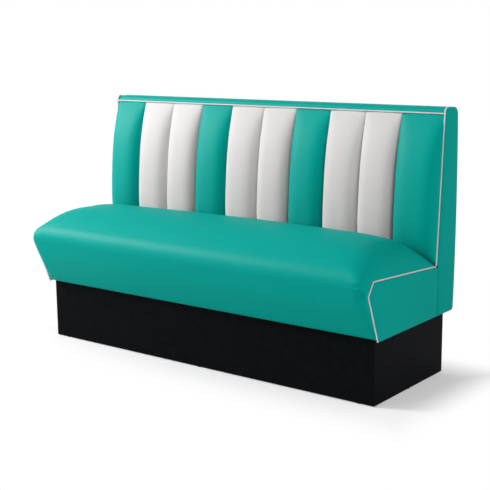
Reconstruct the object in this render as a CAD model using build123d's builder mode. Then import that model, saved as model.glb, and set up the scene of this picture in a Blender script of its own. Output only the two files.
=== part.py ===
from build123d import *
from math import sqrt
import os

# A long upholstered diner bench: a black plinth, a sprung seat unit and a back unit of stuffed channels.
# The front looks along -Y, +X is to the viewer's right and +Z is up, in millimetres.
# The origin is on the floor, under the middle of the whole bench.

# Whole bench
width = 1500
depth = 606
height = 931
facing_thickness = 5.5
facing_edge = 2
seam_thickness = 1
overrun = 5

# Plinth
plinth_height = 224
plinth_inset = 17.4
plinth_board = 18
glide_height = 3
glide_radius = 8
glide_setback = 60
plinth_block_side = 36
plinth_block_length = 150

# Seat unit
nose_reach = 106
back_overhang = 38
back_thickness = 129
seat_overhang = 12
seat_chin_reach = 53
seat_brow_setback = 26
seat_brow_drop = 40
seat_front_rise = 23
seat_rear_height = 396
seat_crown = 111
seat_rear_recess = 54
seat_heel_radius = 6
edge_bow = 0.15
seam_strip = 3
cover_thickness = 2
soft_clearance = 0.5
front_padding = 12
hem_width = 30

# Seat frame and its webbing
frame_board = 18
frame_drop = 54
rib_drop = 26
seat_block_side = 38
webbing_thickness = 1.6
webbing_width = 70
cross_straps = 8
long_straps = 3

# Back unit
back_lean = 38
back_front_radius = 18
back_rear_radius = 26
back_foot_radius = 6
unit_gap = 2
channel_count = 10
channel_crest = 64
channel_round = 36
end_channel_round = 38
channel_hem = 4
back_foam_thickness = 10
front_board_thickness = 6
rear_board_thickness = 3.2
rear_cover_thickness = 1.5
band_height = 24
band_padding = 10
bottom_rail_height = 100
seat_rail_height = 60

# Welts of piping, with a cord of enough sides to look round
piping_radius = 2.75
piping_sides = 8
piping_bend = 4
flange_width = 8
piping_gap = 0.2

# Ribs of the plinth, ribs of the seat and uprights of the back stand in the same two lines
rib_spacing = 500

# Fasteners, which nobody sees, so their round stretches have few sides
fastener_sides = 8
bolt_radius = 4
bolt_hole_radius = 4.5
bolt_spacing = 320
bolt_count = 4
bolt_rise_share = 0.55
bolt_head_height = 5.3
bolt_spare = 6
nut_across_flats = 13
nut_height = 6.5
washer_radius = 12
washer_thickness = 1.6
plate_width = 30
plate_length = 80
plate_thickness = 2.5
plate_setback = 60
screw_radius = 2
screw_length = 14
screw_head_radius = 4
screw_head_height = 2
screw_setback = 15

# Places worked out from the sizes above
rear_face = depth / 2
plinth_rear = rear_face - back_overhang
plinth_front = nose_reach - depth / 2
plinth_half = width / 2 - plinth_inset
seat_foot = plinth_front - seat_overhang
seat_brow_height = seat_rear_height + seat_front_rise
seat_chin_height = seat_brow_height - seat_brow_drop
seat_rear = rear_face - back_thickness
half_core = width / 2 - facing_thickness - seam_thickness
half_seam = half_core + seam_thickness / 2
frame_bottom = plinth_height + cover_thickness
frame_top = seat_rear_height - frame_drop
board_setback = cover_thickness + soft_clearance + front_padding
webbing_top = frame_top + webbing_thickness
piping_height = height - band_height
piping_offset = piping_radius + piping_gap
plate_at_seat = plinth_front + plinth_board + plate_setback
plate_at_back = seat_rear + frame_board + plate_width
channel_width = 2 * half_core / channel_count
channel_low = seat_rear_height + piping_radius * 2
channel_high = piping_height - piping_radius - soft_clearance
foam_front = channel_hem
board_front = foam_front + back_foam_thickness
frame_front = board_front + front_board_thickness


def seat_front_at(level):
    """The seat's leaning front line, at a height above the floor."""
    share = (level - plinth_height) / (seat_chin_height - plinth_height)
    return seat_foot - seat_chin_reach * share


def back_front_at(level):
    """The back's leaning front line, which the side piping follows."""
    return seat_rear + back_lean * (level - seat_rear_height) / (height - seat_rear_height)


rail_bottom = height - band_padding - frame_board
rail_front = back_front_at(piping_height) + band_padding
rail_rear = rear_face - band_padding
rear_board_front = rear_face - rear_cover_thickness - rear_board_thickness


def save(part, name):
    part.label = name
    export_step(part, f"parts/{name}.step")


def grown(points, amount):
    """The same open line of corners, moved to its left by an amount."""
    spots = [Vector(*point) for point in points]
    ways = [(b - a).normalized() for a, b in zip(spots, spots[1:])]
    sides = [Vector(-way.Y, way.X) for way in ways]
    moved = [spots[0] + sides[0] * amount]
    for spot, before, after in zip(spots[1:-1], sides, sides[1:]):
        moved.append(spot + (before + after) * (amount / (1 + before.dot(after))))
    moved.append(spots[-1] + sides[-1] * amount)
    return [(spot.X, spot.Y) for spot in moved]


# Corner points of the two side outlines, as (y, z)
seat_edge = [
    (seat_foot, plinth_height),
    (seat_foot - seat_chin_reach, seat_chin_height),
    (seat_foot - seat_chin_reach + seat_brow_setback, seat_brow_height),
    (seat_rear, seat_rear_height),
]
back_edge = [
    (seat_rear, seat_rear_height),
    (seat_rear + back_lean, height),
    (rear_face, height),
]


def round_bar(radius, mode=Mode.ADD):
    """The section of a fastener or of its hole."""
    RegularPolygon(radius, fastener_sides, mode=mode)


def board(name, low, high):
    """A plain board from its lowest corner to its highest one."""
    x0, y0, z0 = low
    x1, y1, z1 = high
    with BuildPart() as piece:
        with BuildSketch(Plane.XY.offset(z0)) as outline:
            with Locations(((x0 + x1) / 2, (y0 + y1) / 2)):
                Rectangle(x1 - x0, y1 - y0)
        extrude(amount=z1 - z0)
    save(piece.part, name)


def side_board(name, points, x0, x1, pilots=()):
    """A board cut to an outline in the YZ plane, from x0 to x1, with pilot holes for its screws."""
    with BuildPart() as piece:
        with BuildSketch(Plane.YZ.offset(x0)) as outline:
            with BuildLine():
                Polyline(*points, close=True)
            make_face()
            if pilots:
                with Locations(*pilots):
                    round_bar(screw_radius, Mode.SUBTRACT)
        extrude(amount=x1 - x0)
    save(piece.part, name)


def screw_places(*sides):
    """Where the fixing plates' screws go, below or above the plinth's top."""
    rise = plate_length / 2 - screw_setback
    return [(y, plinth_height + side * rise) for y, side in sides]


# The plinth is a box of laminated boards on nail-on glides
def build_plinth():
    inner = plinth_half - plinth_board
    y_front = plinth_front + plinth_board
    y_rear = plinth_rear - plinth_board
    low = (-plinth_half, plinth_front, glide_height)
    board("plinth_front_board", low, (plinth_half, y_front, plinth_height))
    board("plinth_rear_board", (-inner, y_rear, glide_height), (inner, plinth_rear, plinth_height))
    board("plinth_left_board", (-plinth_half, y_front, glide_height), (-inner, plinth_rear, plinth_height))
    board("plinth_right_board", (inner, y_front, glide_height), (plinth_half, plinth_rear, plinth_height))
    rib = [(y_front, glide_height), (y_rear, glide_height), (y_rear, plinth_height), (y_front, plinth_height)]
    pilots = screw_places((plate_at_seat, -1), (plate_at_back, -1))
    for number, side in enumerate((-1, 1), start=1):
        x0 = side * rib_spacing / 2 - plinth_board / 2
        side_board(f"plinth_rib_{number}", rib, x0, x0 + plinth_board, pilots)


def build_plinth_blocks():
    x = plinth_half - plinth_board - plinth_block_side / 2
    y_front = plinth_front + plinth_board + plinth_block_side / 2
    y_rear = plinth_rear - plinth_board - plinth_block_side / 2
    low = plinth_height - plinth_block_length - frame_board
    with BuildPart() as blocks:
        with BuildSketch(Plane.XY.offset(low)) as outline:
            with Locations(*[(sx * x, y) for sx in (-1, 1) for y in (y_front, y_rear)]):
                Rectangle(plinth_block_side, plinth_block_side)
        extrude(amount=plinth_block_length)
    save(blocks.part, "plinth_corner_blocks")


def build_glides():
    x_side = plinth_half - plinth_board / 2
    x_end = plinth_half - glide_setback
    y_front = plinth_front + plinth_board / 2
    y_rear = plinth_rear - plinth_board / 2
    y_mid = (plinth_front + plinth_rear) / 2
    spots = [(x, y) for x in (-x_end, 0, x_end) for y in (y_front, y_rear)]
    spots += [(-x_side, y_mid), (x_side, y_mid)]
    with BuildPart() as glides:
        with BuildSketch() as outline:
            with Locations(*spots):
                round_bar(glide_radius)
        extrude(amount=glide_height)
    save(glides.part, "plinth_glides")


# The seat frame: boards glued and screwed at the corners, with a leaning front board
def build_seat_frame():
    def front(level, setback):
        return seat_front_at(level) + setback

    rear_inside = seat_rear - cover_thickness - frame_board
    inner_front = board_setback + frame_board
    front_board = [
        (front(frame_bottom, board_setback), frame_bottom),
        (front(frame_bottom, inner_front), frame_bottom),
        (front(frame_top, inner_front), frame_top),
        (front(frame_top, board_setback), frame_top),
    ]
    side_board("seat_front_board", front_board, -half_core, half_core)

    end_top = frame_top - webbing_thickness
    end_board = [
        (front(plinth_height, inner_front), plinth_height),
        (rear_inside, plinth_height),
        (rear_inside, end_top),
        (front(end_top, inner_front), end_top),
    ]
    side_board("seat_left_end", end_board, -half_core, frame_board - half_core)
    side_board("seat_right_end", end_board, half_core - frame_board, half_core)

    rib_top = frame_top - rib_drop
    rib = [
        (front(plinth_height, inner_front), plinth_height),
        (rear_inside, plinth_height),
        (rear_inside, rib_top),
        (front(rib_top, inner_front), rib_top),
    ]
    pilots = screw_places((plate_at_seat, 1))
    for number, side in enumerate((-1, 1), start=1):
        x0 = side * rib_spacing / 2 - frame_board / 2
        side_board(f"seat_rib_{number}", rib, x0, x0 + frame_board, pilots)


def bolt_places():
    first = -bolt_spacing * (bolt_count - 1) / 2
    level = frame_bottom + (frame_top - frame_bottom) * bolt_rise_share
    return [(first + bolt_spacing * number, level) for number in range(bolt_count)]


def drilled_rail(name, low, high):
    """A rail that the joint bolts pass through, from front to rear."""
    x0, y0, z0 = low
    x1, y1, z1 = high
    with BuildPart() as rail:
        with BuildSketch(Plane.XZ.offset(-y1)) as outline:
            with Locations(((x0 + x1) / 2, (z0 + z1) / 2)):
                Rectangle(x1 - x0, z1 - z0)
            with Locations(*bolt_places()):
                round_bar(bolt_hole_radius, Mode.SUBTRACT)
        extrude(amount=y1 - y0)
    save(rail.part, name)


def build_joint_rails():
    seat_rail_rear = seat_rear - cover_thickness
    low = (-half_core, seat_rail_rear - frame_board, frame_bottom)
    drilled_rail("seat_rear_rail", low, (half_core, seat_rail_rear, frame_top))
    between = half_core - frame_board
    high = (between, seat_rear + frame_board, plinth_height + bottom_rail_height)
    drilled_rail("back_bottom_rail", (-between, seat_rear, plinth_height), high)


def build_seat_blocks():
    inner_front = board_setback + frame_board
    low = frame_bottom
    top = frame_top - rib_drop
    rear_inside = seat_rear - cover_thickness - frame_board
    x = half_core - frame_board
    outlines = [
        [
            (seat_front_at(low) + inner_front, low),
            (seat_front_at(low) + inner_front + seat_block_side, low),
            (seat_front_at(top) + inner_front + seat_block_side, top),
            (seat_front_at(top) + inner_front, top),
        ],
        [
            (rear_inside - seat_block_side, low),
            (rear_inside, low),
            (rear_inside, top),
            (rear_inside - seat_block_side, top),
        ],
    ]
    with BuildPart() as blocks:
        for x0 in (-x, x - seat_block_side):
            for points in outlines:
                with BuildSketch(Plane.YZ.offset(x0)) as outline:
                    with BuildLine():
                        Polyline(*points, close=True)
                    make_face()
                extrude(amount=seat_block_side)
    save(blocks.part, "seat_corner_blocks")


# Elastic webbing: long straps on the end boards, cross straps over them on the front board and rear rail
def build_webbing():
    y_front = seat_front_at(frame_top) + board_setback
    y_rear = seat_rear - cover_thickness
    pitch = 2 * half_core / cross_straps
    with BuildPart() as cross:
        with BuildSketch(Plane.XY.offset(frame_top)) as outline:
            with Locations((0, (y_front + y_rear) / 2)):
                with GridLocations(pitch, 0, cross_straps, 1):
                    Rectangle(webbing_width, y_rear - y_front)
        extrude(amount=webbing_thickness)
    save(cross.part, "seat_cross_webbing")

    span = y_rear - y_front - 2 * frame_board
    with BuildPart() as along:
        with BuildSketch(Plane.XY.offset(frame_top - webbing_thickness)) as outline:
            with Locations((0, (y_front + y_rear) / 2)):
                with GridLocations(0, span / long_straps, 1, long_straps):
                    Rectangle(2 * half_core, webbing_width)
        extrude(amount=webbing_thickness)
    save(along.part, "seat_long_webbing")


# The seat's cushion: cross-sections whose corners swell from the side outline to the middle of the bench
station_shares = (0, 0.45, 0.7, 0.84, 0.92, 0.965, 0.988, 1)
top_place_shares = (0.2, 0.4, 0.7)

# What each corner of the middle section takes of the nose's swell and of the crown, from the foot to the rear
swell_shares = (0, 0.4, 0.65, 0.97, 0.74, 0.63, 0.14, 0.06)
crown_shares = (0, 0.04, 0.15, 0.31, 0.43, 0.84, 1, 0.95)

# The rear shoulder, the waist under it and the heel, with their parts of the heel's radius, recess and crown
back_shares = (1, 0.3, 0)
drop_shares = (0, 0.3, 1)
recess_shares = (1, 0.74, 0)
shoulder_shares = (0.92, 0.43, 0)

# How flat each stretch stays along the bench before it falls to the side outline, as powers
front_power = 41
brow_power = 18
crown_power = 9.6
shoulder_power = 3.5
recess_power = 10

# How many flat strips stand for each arc of the cushion's hidden inner skins
strip_count = 3


def mitre(before, after):
    """The way that moves a corner inside by one unit from both of its edges."""
    return (before + after) * (1 / (1 + before.dot(after)))


def seat_corners():
    """The corners and arc middles of the side outline, each with its way inside the cushion."""
    foot, chin, brow, rear = [Vector(*point) for point in seat_edge]
    ways = [(b - a).normalized() for a, b in ((foot, chin), (chin, brow), (brow, rear))]
    behind_front, behind_nose, below_top = [Vector(way.Y, -way.X) for way in ways]
    corners = [
        (foot, behind_front),
        ((foot + chin) / 2 - behind_front * edge_bow, behind_front),
        (chin, mitre(behind_front, behind_nose)),
        ((chin + brow) / 2 - behind_nose * edge_bow, behind_nose),
        (brow, mitre(behind_nose, below_top)),
    ]
    run = rear - ways[-1] * seat_heel_radius - brow
    for share in top_place_shares:
        bow = edge_bow * 4 * share * (1 - share)
        corners.append((brow + run * share - below_top * bow, below_top))
    return corners


def stays(share, power):
    """What is left of a swell at a share of the cushion's half-length."""
    return sqrt(1 - share ** power)


def seat_section(share, inset):
    """The corners of the cushion's cross-section at a share of its half-length."""
    corners = seat_corners()
    nose_swell = corners[3][0].X - plinth_front + nose_reach
    powers = [front_power] * 5 + [brow_power] + [crown_power] * 2
    points = []
    for (spot, inward), swell_share, crown_share, power in zip(corners, swell_shares, crown_shares, powers):
        swell = Vector(-nose_swell * swell_share, seat_crown * crown_share) * stays(share, power)
        point = spot + swell + inward * inset
        points.append((point.X, point.Y))
    points[0] = (points[0][0], plinth_height + inset)

    rise, recess = stays(share, shoulder_power), stays(share, recess_power)
    drops = (inset, inset / 2, 0)
    for part in range(3):
        back = seat_heel_radius * back_shares[part] * (1 - recess)
        back += seat_rear_recess * recess_shares[part] * recess
        down = seat_heel_radius * drop_shares[part] * (1 - rise)
        up = seat_crown * shoulder_shares[part] * rise
        points.append((seat_rear - back - inset, seat_rear_height - down + up - drops[part]))
    points.append((seat_rear - inset, plinth_height + inset))
    return points


def section_face(x, share, inset):
    """The cushion's whole cross-section, or the outline of the side facing at a share of 1."""
    points = seat_section(share, inset)
    heel, floor = points[10:]
    with BuildLine(Plane.YZ.offset(x)) as outline:
        for first in range(0, 10, 2):
            if inset:
                arc = ThreePointArc(*points[first:first + 3], mode=Mode.PRIVATE)
                spots = [arc @ (number / strip_count) for number in range(strip_count + 1)]
                Polyline(*[(spot.Y, spot.Z) for spot in spots])
            else:
                ThreePointArc(*points[first:first + 3])
        Line(heel, floor)
        Line(floor, points[0])
    return Face(outline.wire())


def cushion(inset):
    """The cushion's solid, drawn in by an inset all round but at its two ends."""
    reach = half_core - seam_strip - inset
    places = [(-half_core, 1)]
    places += [(-share * reach, share) for share in reversed(station_shares[1:])]
    places += [(share * reach, share) for share in station_shares]
    places += [(half_core, 1)]
    with BuildPart(mode=Mode.PRIVATE) as body:
        loft([section_face(x, share, inset) for x, share in places], ruled=True)
    return body.part


def build_seat_cover():
    outer = cushion(0)
    inner = cushion(cover_thickness)
    hole_front = seat_foot + hem_width
    hole_rear = seat_rear - hem_width / 2
    with BuildPart() as cover:
        add(outer)
        add(inner, mode=Mode.SUBTRACT)
        with BuildSketch(Plane.XY.offset(plinth_height - overrun)) as opening:
            with Locations((0, (hole_front + hole_rear) / 2)):
                Rectangle(width, hole_rear - hole_front)
        extrude(amount=overrun + cover_thickness * 2, mode=Mode.SUBTRACT)
        with BuildSketch(Plane.XZ.offset(-seat_rear - overrun)) as holes:
            with Locations(*bolt_places()):
                round_bar(bolt_hole_radius)
        extrude(amount=overrun * 2, mode=Mode.SUBTRACT)
    save(cover.part, "seat_cover")


def build_seat_foam():
    body = cushion(cover_thickness + soft_clearance)
    front = board_setback
    with BuildPart() as foam:
        add(body)
        with BuildSketch(Plane.YZ.offset(-half_core - overrun)) as hollow:
            with BuildLine():
                Polyline(
                    (seat_front_at(frame_bottom - overrun) + front, frame_bottom - overrun),
                    (seat_front_at(webbing_top) + front, webbing_top),
                    (seat_rear + overrun, webbing_top),
                    (seat_rear + overrun, frame_bottom - overrun),
                    close=True,
                )
            make_face()
        extrude(amount=2 * (half_core + overrun), mode=Mode.SUBTRACT)
    save(foam.part, "seat_foam")


# Side facings and the welts sewn between them and the covers
def build_seat_facings():
    for name, x0 in (("left", -width / 2), ("right", width / 2 - facing_thickness)):
        with BuildPart() as facing:
            extrude(section_face(x0, 1, 0), amount=facing_thickness, dir=(1, 0, 0))
            outer = Axis.X if name == "right" else -Axis.X
            chamfer(facing.faces().sort_by(outer)[-1].edges(), facing_edge)
        save(facing.part, f"seat_{name}_facing")


def build_back_facings():
    foot_front = (seat_rear + unit_gap, plinth_height)
    foot_rear = (rear_face, plinth_height)
    for name, x0 in (("left", -width / 2), ("right", width / 2 - facing_thickness)):
        with BuildPart() as facing:
            with BuildSketch(Plane.YZ.offset(x0)) as outline:
                with BuildLine():
                    Polyline(foot_front, *back_edge, foot_rear, close=True)
                make_face()
                corners = outline.vertices()
                fillet(corners.group_by(Axis.Y)[-1].sort_by(Axis.X)[0], back_front_radius)
                fillet(outline.vertices().group_by(Axis.X)[-1].sort_by(Axis.Y)[-1], back_rear_radius)
                fillet(outline.vertices().group_by(Axis.X)[-1].sort_by(Axis.Y)[0], back_foot_radius)
            extrude(amount=facing_thickness)
            outer = Axis.X if name == "right" else -Axis.X
            chamfer(facing.faces().sort_by(outer)[-1].edges(), facing_edge)
        save(facing.part, f"back_{name}_facing")


def welt(name, path):
    """A welt: a round cord with a flat flange behind it, swept along the edge that it finishes."""
    with BuildPart() as piece:
        with BuildSketch(Plane(origin=path @ 0, x_dir=(1, 0, 0), z_dir=path % 0)) as section:
            RegularPolygon(piping_radius, piping_sides)
            Rectangle(seam_thickness, piping_offset + flange_width, align=(Align.CENTER, Align.MIN))
        sweep(path=path)
    save(piece.part, name)


def build_seat_pipings():
    foot, chin, brow, rear = grown(seat_edge, piping_offset)
    stop = (rear[0] - seat_heel_radius, rear[1])
    for side, x in (("left", -half_seam), ("right", half_seam)):
        with BuildLine(Plane.YZ.offset(x)) as path:
            FilletPolyline(foot, chin, brow, stop, radius=piping_bend)
        welt(f"seat_{side}_piping", path.wire())


def build_back_pipings():
    start = seat_rear_height + 2 * piping_offset
    stop = back_edge[1][0] + back_front_radius + piping_radius
    corners = grown([(back_front_at(start), start), back_edge[1], (stop, height)], piping_offset)
    for side, x in (("left", -half_seam), ("right", half_seam)):
        with BuildLine(Plane.YZ.offset(x)) as path:
            FilletPolyline(*corners, radius=back_front_radius + piping_offset)
        welt(f"back_{side}_piping", path.wire())


def build_top_piping():
    reach = half_seam - piping_radius - piping_gap
    y = back_front_at(piping_height) - piping_offset
    with BuildPart() as welt:
        with BuildSketch(Plane.YZ.offset(-reach)) as outline:
            with Locations((y, piping_height)):
                Circle(piping_radius)
            with Locations((y, piping_height)):
                Rectangle(rail_front - y, seam_thickness, align=(Align.MIN, Align.CENTER))
        extrude(amount=2 * reach)
    save(welt.part, "back_top_piping")


# The back frame
def build_back_frame():
    def front(level):
        return back_front_at(level) + frame_front

    end_board = [
        (seat_rear, plinth_height),
        (seat_rear, seat_rear_height),
        (front(seat_rear_height), seat_rear_height),
        (front(rail_bottom), rail_bottom),
        (rear_board_front, rail_bottom),
        (rear_board_front, plinth_height),
    ]
    side_board("back_left_end", end_board, -half_core, frame_board - half_core)
    side_board("back_right_end", end_board, half_core - frame_board, half_core)
    behind_rail = seat_rear + frame_board
    upright = [(behind_rail, plinth_height), (behind_rail, seat_rear_height)] + end_board[2:]
    pilots = screw_places((plate_at_back, 1))
    for number, side in enumerate((-1, 1), start=1):
        x0 = side * rib_spacing / 2 - frame_board / 2
        side_board(f"back_upright_{number}", upright, x0, x0 + frame_board, pilots)


def build_seat_level_rail():
    between = half_core - frame_board
    inner = (rib_spacing - frame_board) / 2
    outer = (rib_spacing + frame_board) / 2
    low, high = seat_rear_height, seat_rear_height + seat_rail_height
    front = [(back_front_at(z) + frame_front, z) for z in (low, high)]
    rear = [(y + frame_board, z) for y, z in reversed(front)]
    with BuildPart() as rail:
        for x0, x1 in ((-between, -outer), (-inner, inner), (outer, between)):
            with BuildSketch(Plane.YZ.offset(x0)) as outline:
                with BuildLine():
                    Polyline(*front, *rear, close=True)
                make_face()
            extrude(amount=x1 - x0)
    save(rail.part, "back_seat_rail")


def raked_layer(name, front, rear, low, high):
    """A layer that lies along the back's leaning front, between two depths behind it."""
    points = [
        (back_front_at(low) + front, low),
        (back_front_at(high) + front, high),
        (back_front_at(high) + rear, high),
        (back_front_at(low) + rear, low),
    ]
    side_board(name, points, -half_core, half_core)


def build_back_layers():
    raked_layer("back_front_board", board_front, frame_front, seat_rear_height, rail_bottom)
    raked_layer("back_foam", foam_front, board_front, seat_rear_height, rail_bottom)
    rear_board_rear = rear_face - rear_cover_thickness
    low = (-half_core, rear_board_front, frame_bottom)
    board("back_rear_board", low, (half_core, rear_board_rear, rail_bottom))
    low = (-half_core, rear_board_rear, frame_bottom)
    board("back_rear_cover", low, (half_core, rear_face, rail_bottom))
    low = (-half_core, rail_front, rail_bottom)
    board("back_top_rail", low, (half_core, rail_rear, rail_bottom + frame_board))


def build_top_band():
    low = piping_height + seam_thickness / 2
    rail_top = rail_bottom + frame_board
    with BuildPart() as band:
        with BuildSketch(Plane.YZ.offset(-half_core)) as outline:
            with BuildLine():
                Polyline(
                    (back_front_at(low), low),
                    back_edge[1],
                    (rear_face, height),
                    (rear_face, rail_bottom),
                    (rail_rear, rail_bottom),
                    (rail_rear, rail_top),
                    (rail_front, rail_top),
                    (rail_front, low),
                    close=True,
                )
            make_face()
            fillet(outline.vertices().group_by(Axis.Y)[-1].sort_by(Axis.X)[0], back_front_radius)
            fillet(outline.vertices().group_by(Axis.Y)[-1].sort_by(Axis.X)[-1], back_rear_radius)
        extrude(amount=2 * half_core)
    save(band.part, "back_top_band")


# The ten stuffed channels: one round section leans and falls with the crest, and both ends are pinched
round_place_shares = (0, 0.2, 0.4, 0.58, 0.73, 0.85, 0.93, 0.98, 1)
round_power = 2.3
end_round_power = 3.6

# Heights on a channel, and how much of the crest its round section keeps there
body_shares = (0, 0.2, 0.45, 0.7, 1)
body_rise_shares = (0.86, 0.92, 0.97, 0.79, 0.5)

# The side view that pinches a channel: heights, and how much of the crest is left there
pinch_shares = (0, 0.02, 0.05, 0.1, 0.16, 0.24, 0.6, 0.75, 0.85, 0.92, 0.97, 1)
pinch_rise_shares = (0, 0.22, 0.46, 0.68, 0.84, 1.05, 1.05, 0.72, 0.51, 0.31, 0.12, 0)


def crest_place(share, rise_share):
    """A place on a channel's crest, as (y, z), at a share of its height."""
    level = channel_low + (channel_high - channel_low) * share
    return back_front_at(level) - channel_crest * rise_share, level


def round_side(middle, sign, front, at_end):
    """One half of a channel's round front in plan, from the crest to the flank."""
    half = channel_width / 2 - (piping_radius if at_end else 0)
    depth = end_channel_round if at_end else channel_round
    power = end_round_power if at_end else round_power
    falls = [depth * (1 - stays(share, power)) for share in round_place_shares]
    return [(middle + sign * half * share, front + fall) for share, fall in zip(round_place_shares, falls)]


def build_channels():
    places = [crest_place(*shares) for shares in zip(body_shares, body_rise_shares)]
    pinched = [crest_place(*shares) for shares in zip(pinch_shares, pinch_rise_shares)]
    hem = [(back_front_at(level) + channel_hem, level) for level in (channel_high, channel_low)]
    for number in range(channel_count):
        low_x = -half_core + channel_width * number
        middle = low_x + channel_width / 2
        with BuildPart() as channel:
            for (front, level), (next_front, next_level) in zip(places, places[1:]):
                left = round_side(middle, -1, front, number == 0)
                right = round_side(middle, 1, front, number == channel_count - 1)
                behind = front + 2 * channel_crest
                ends = [(right[-1][0], behind), (left[-1][0], behind)]
                with BuildSketch(Plane.XY.offset(level)) as outline:
                    with BuildLine():
                        Polyline(*reversed(left), *right[1:], *ends, close=True)
                    make_face()
                way = Vector(0, next_front - front, next_level - level)
                extrude(amount=way.length, dir=way.normalized())
            with BuildSketch(Plane.YZ.offset(low_x)) as side_view:
                with BuildLine():
                    Polyline(*pinched, *hem, close=True)
                make_face()
            extrude(amount=channel_width, mode=Mode.INTERSECT)
        save(channel.part, f"channel_{number + 1:02d}")


# Bolts, washers and nuts join the seat's rear rail to the back's bottom rail
def build_joint_bolts():
    head_face = seat_rear - cover_thickness - frame_board
    nut_face = seat_rear + frame_board + washer_thickness
    with BuildPart() as bolts:
        with BuildSketch(Plane.XZ.offset(-head_face)) as heads:
            with Locations(*bolt_places()):
                RegularPolygon(nut_across_flats / 2, 6, major_radius=False)
        extrude(amount=bolt_head_height)
        with BuildSketch(Plane.XZ.offset(-head_face)) as shanks:
            with Locations(*bolt_places()):
                round_bar(bolt_radius)
        extrude(amount=-(nut_face + nut_height + bolt_spare - head_face))
    save(bolts.part, "joint_bolts")

    with BuildPart() as washers:
        with BuildSketch(Plane.XZ.offset(-nut_face)) as rings:
            with Locations(*bolt_places()):
                round_bar(washer_radius)
                round_bar(bolt_hole_radius, Mode.SUBTRACT)
        extrude(amount=washer_thickness)
    save(washers.part, "joint_washers")

    with BuildPart() as nuts:
        with BuildSketch(Plane.XZ.offset(-nut_face - nut_height)) as rings:
            with Locations(*bolt_places()):
                RegularPolygon(nut_across_flats / 2, 6, major_radius=False)
                round_bar(bolt_radius, Mode.SUBTRACT)
        extrude(amount=nut_height)
    save(nuts.part, "joint_nuts")


# Steel plates tie the ribs of the seat and the uprights of the back to the ribs of the plinth
def build_fixing_plates():
    inner = (rib_spacing - frame_board) / 2
    screws_at = screw_places((plate_at_seat, -1), (plate_at_seat, 1), (plate_at_back, -1), (plate_at_back, 1))
    with BuildPart() as plates:
        for x0 in (-inner, inner - plate_thickness):
            with BuildSketch(Plane.YZ.offset(x0)) as outline:
                with Locations((plate_at_seat, plinth_height), (plate_at_back, plinth_height)):
                    Rectangle(plate_width, plate_length)
                with Locations(*screws_at):
                    round_bar(screw_radius, Mode.SUBTRACT)
            extrude(amount=plate_thickness)
    save(plates.part, "fixing_plates")

    with BuildPart() as screws:
        for sign in (-1, 1):
            face = sign * (inner - plate_thickness)
            with BuildSketch(Plane.YZ.offset(face)) as heads:
                with Locations(*screws_at):
                    round_bar(screw_head_radius)
            extrude(amount=-sign * screw_head_height)
            with BuildSketch(Plane.YZ.offset(face)) as shanks:
                with Locations(*screws_at):
                    round_bar(screw_radius)
            extrude(amount=sign * screw_length)
    save(screws.part, "plate_screws")


os.makedirs("parts", exist_ok=True)
build_plinth()
build_plinth_blocks()
build_glides()
build_seat_frame()
build_joint_rails()
build_seat_blocks()
build_webbing()
build_seat_cover()
build_seat_foam()
build_seat_facings()
build_back_facings()
build_seat_pipings()
build_back_pipings()
build_top_piping()
build_back_frame()
build_seat_level_rail()
build_back_layers()
build_top_band()
build_channels()
build_joint_bolts()
build_fixing_plates()
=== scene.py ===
from math import atan2, cos, hypot, pi, radians, sin, sqrt, tan

import bmesh
import bpy
import numpy as np
from mathutils import Matrix, Vector


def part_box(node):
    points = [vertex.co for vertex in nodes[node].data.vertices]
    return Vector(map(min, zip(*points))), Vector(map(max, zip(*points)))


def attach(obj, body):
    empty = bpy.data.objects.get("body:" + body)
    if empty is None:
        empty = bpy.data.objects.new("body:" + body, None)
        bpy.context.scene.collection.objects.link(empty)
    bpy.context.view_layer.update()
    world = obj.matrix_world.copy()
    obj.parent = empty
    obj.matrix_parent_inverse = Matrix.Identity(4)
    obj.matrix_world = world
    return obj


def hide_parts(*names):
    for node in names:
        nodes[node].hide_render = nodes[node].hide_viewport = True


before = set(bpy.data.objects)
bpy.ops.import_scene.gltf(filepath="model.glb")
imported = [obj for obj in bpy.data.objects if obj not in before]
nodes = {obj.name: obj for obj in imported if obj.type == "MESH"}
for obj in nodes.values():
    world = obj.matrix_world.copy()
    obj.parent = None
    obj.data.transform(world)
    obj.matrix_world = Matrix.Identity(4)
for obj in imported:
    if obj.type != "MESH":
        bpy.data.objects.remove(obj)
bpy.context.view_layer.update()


# The camera and the studio
# A long lens looks down on the bench from its right, with no shift. The bench stands on a plain white
# floor in a white room, and its shadow is all that shows of the floor.
camera_place = (2.416, -3.056, 1.184)
camera_yaw, camera_pitch, camera_roll = radians(37.556), radians(11.1455), radians(0.57)
camera_lens, film_width = 79.34, 36
bench_middle = Vector((0, 0, 0.5))
room_light = 0.28
floor_side, floor_shade, floor_glow = 14, 0.86, 0.28
shadow_fade_x, shadow_fade_y = (0.80, 0.98), (0.20, 0.46)  # where the shown shadow starts and ends to fade

bpy.context.scene.view_settings.view_transform = "Standard"
bpy.ops.object.select_all(action="DESELECT")
bpy.ops.object.camera_add(location=camera_place)
camera = bpy.context.object
turn = Matrix.Rotation(camera_yaw, 4, "Z") @ Matrix.Rotation(pi / 2 - camera_pitch, 4, "X")
camera.rotation_euler = (turn @ Matrix.Rotation(-camera_roll, 4, "Z")).to_euler()
camera.data.lens = camera_lens
camera.data.sensor_width = film_width
bpy.context.scene.camera = camera


def softbox(name, place, side, power):
    """A square soft light that looks at the middle of the bench."""
    bpy.ops.object.light_add(type="AREA", location=place)
    lamp = bpy.context.object
    lamp.name = name
    lamp.data.size = side
    lamp.data.energy = power
    aim = bench_middle - Vector(place)
    lamp.rotation_euler = aim.to_track_quat("-Z", "Y").to_euler()
    return lamp


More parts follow.
